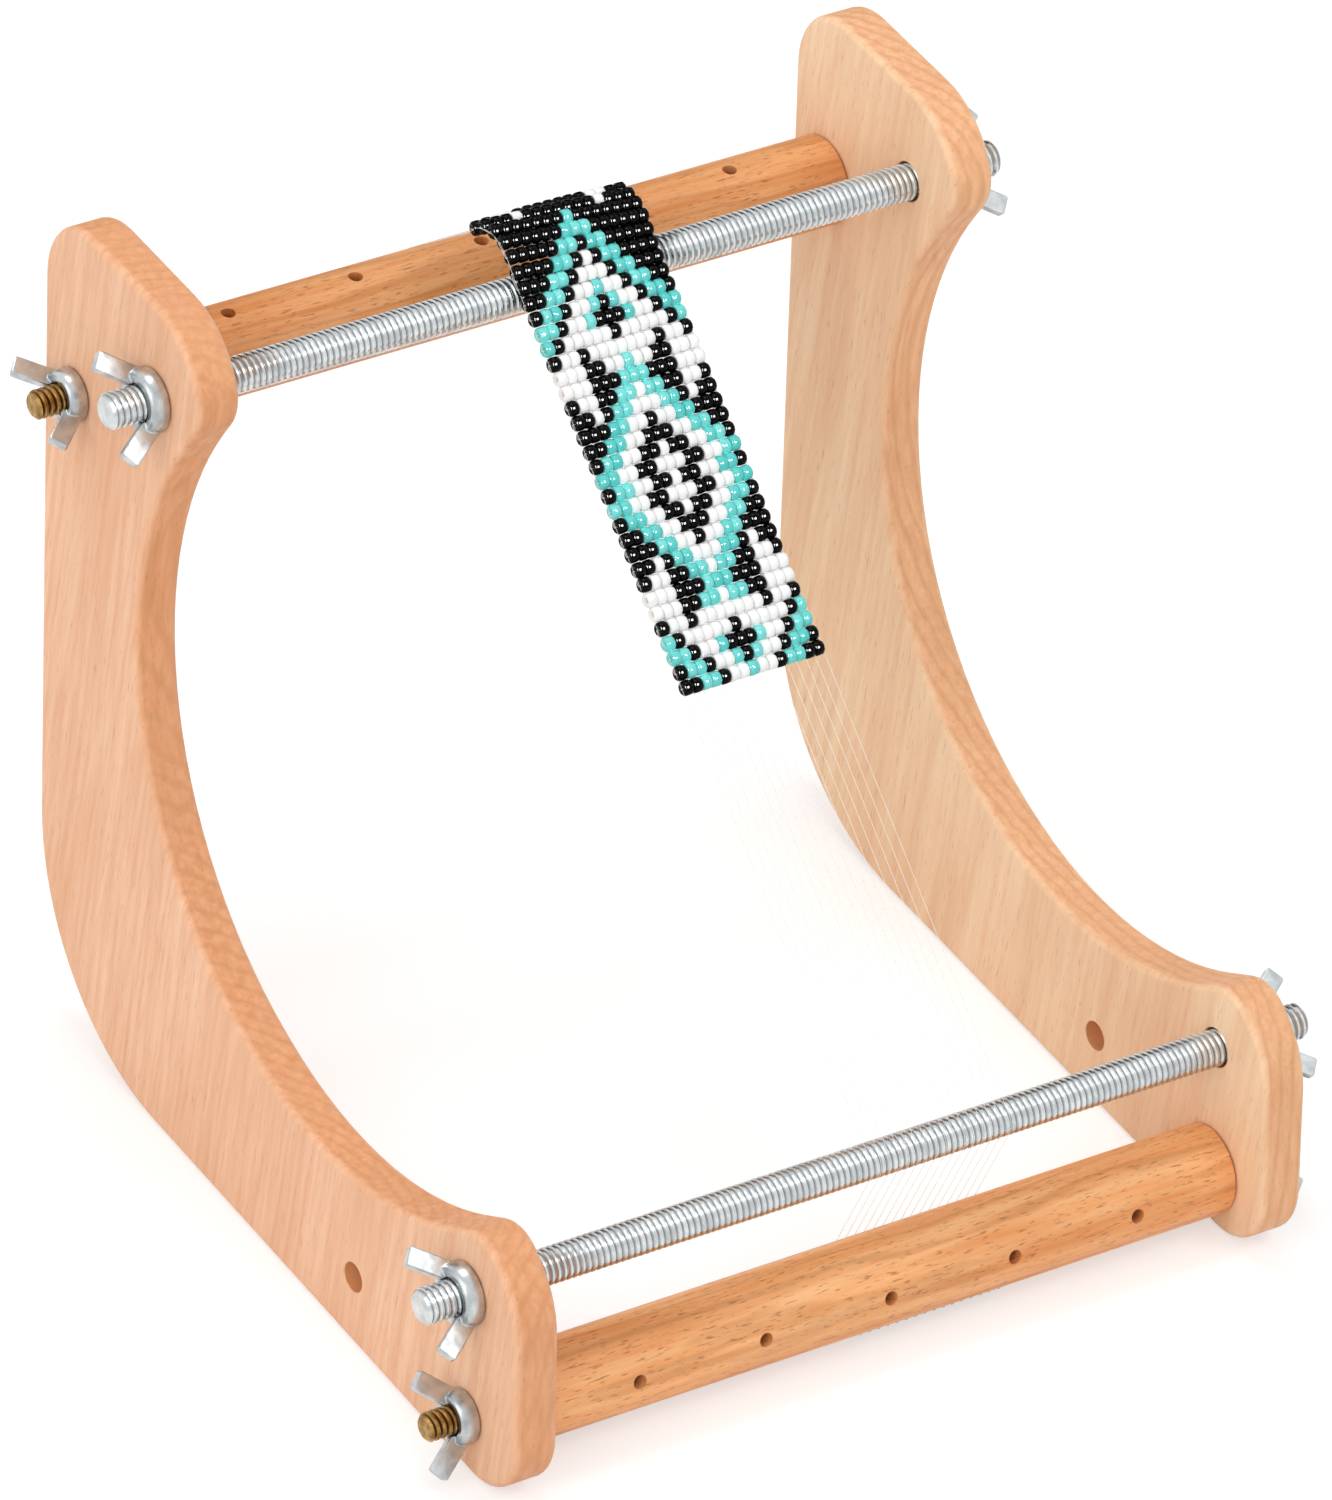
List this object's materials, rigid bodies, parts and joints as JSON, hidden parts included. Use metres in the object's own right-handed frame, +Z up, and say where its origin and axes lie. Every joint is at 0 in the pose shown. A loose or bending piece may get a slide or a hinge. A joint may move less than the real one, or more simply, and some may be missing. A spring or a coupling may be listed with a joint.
{
  "type": "bead loom",
  "caption": "Bench-top bead loom: two C-shaped beech cheeks, threaded tie rods, two turning dowel rollers locked by wing nuts, and a started strip of beadwork on its warp.",
  "frame": {"origin": "on the bench, midway between the cheeks and midway between their back and front edges", "axes": "+X to the weaver's right along the rods and rollers, +Y away from the weaver, +Z up from the bench"},
  "size_m": [0.277, 0.2682, 0.2354],
  "materials": {
    "beech_cheek": "sanded, clear satin",
    "beech_roller": "steamed beech, oiled",
    "zinc_steel": "bright zinc plate",
    "yellow_zinc": "yellow passivated, dull",
    "glass_beads": "opaque gloss glass in black, white and turquoise",
    "clear_thread": "clear nylon beading thread"
  },
  "bodies": {
    "frame": {"left_cheek": "beech_cheek", "right_cheek": "beech_cheek", "upper_threaded_rod": "zinc_steel", "lower_threaded_rod": "zinc_steel", "beadwork": "glass_beads", "warp_threads": "clear_thread", "upper_warp_threads": "clear_thread"},
    "upper_roller": {"upper_roller": "beech_roller", "upper_left_hanger_bolt": "yellow_zinc", "upper_right_hanger_bolt": "yellow_zinc"},
    "lower_roller": {"lower_roller": "beech_roller", "lower_left_hanger_bolt": "yellow_zinc", "lower_right_hanger_bolt": "yellow_zinc"},
    "upper_left_rod_nut": {"upper_left_rod_wing_nut": "zinc_steel"},
    "upper_right_rod_nut": {"upper_right_rod_wing_nut": "zinc_steel"},
    "lower_left_rod_nut": {"lower_left_rod_wing_nut": "zinc_steel"},
    "lower_right_rod_nut": {"lower_right_rod_wing_nut": "zinc_steel"},
    "upper_left_roller_nut": {"upper_left_roller_wing_nut": "zinc_steel"},
    "upper_right_roller_nut": {"upper_right_roller_wing_nut": "zinc_steel"},
    "lower_left_roller_nut": {"lower_left_roller_wing_nut": "zinc_steel"},
    "lower_right_roller_nut": {"lower_right_roller_wing_nut": "zinc_steel"}
  },
  "joints": [
    {"name": "upper_roller_turn", "type": "hinge", "parent": "frame", "child": "upper_roller", "pos_m": [0, 0.11375, 0.1869], "axis": [1, 0, 0], "continuous": true},
    {"name": "lower_roller_turn", "type": "hinge", "parent": "frame", "child": "lower_roller", "pos_m": [0, -0.11105, 0.0157], "axis": [1, 0, 0], "continuous": true},
    {"name": "upper_left_rod_nut_turn", "type": "hinge", "parent": "frame", "child": "upper_left_rod_nut", "pos_m": [-0.13, 0.07955, 0.209], "axis": [1, 0, 0], "continuous": true},
    {"name": "upper_right_rod_nut_turn", "type": "hinge", "parent": "frame", "child": "upper_right_rod_nut", "pos_m": [0.13, 0.07955, 0.209], "axis": [1, 0, 0], "continuous": true},
    {"name": "lower_left_rod_nut_turn", "type": "hinge", "parent": "frame", "child": "lower_left_rod_nut", "pos_m": [-0.13, -0.10405, 0.0513], "axis": [1, 0, 0], "continuous": true},
    {"name": "lower_right_rod_nut_turn", "type": "hinge", "parent": "frame", "child": "lower_right_rod_nut", "pos_m": [0.13, -0.10405, 0.0513], "axis": [1, 0, 0], "continuous": true},
    {"name": "upper_left_roller_nut_turn", "type": "hinge", "parent": "upper_roller", "child": "upper_left_roller_nut", "pos_m": [-0.13, 0.11375, 0.1869], "axis": [1, 0, 0], "continuous": true},
    {"name": "upper_right_roller_nut_turn", "type": "hinge", "parent": "upper_roller", "child": "upper_right_roller_nut", "pos_m": [0.13, 0.11375, 0.1869], "axis": [1, 0, 0], "continuous": true},
    {"name": "lower_left_roller_nut_turn", "type": "hinge", "parent": "lower_roller", "child": "lower_left_roller_nut", "pos_m": [-0.13, -0.11105, 0.0157], "axis": [1, 0, 0], "continuous": true},
    {"name": "lower_right_roller_nut_turn", "type": "hinge", "parent": "lower_roller", "child": "lower_right_roller_nut", "pos_m": [0.13, -0.11105, 0.0157], "axis": [1, 0, 0], "continuous": true}
  ]
}
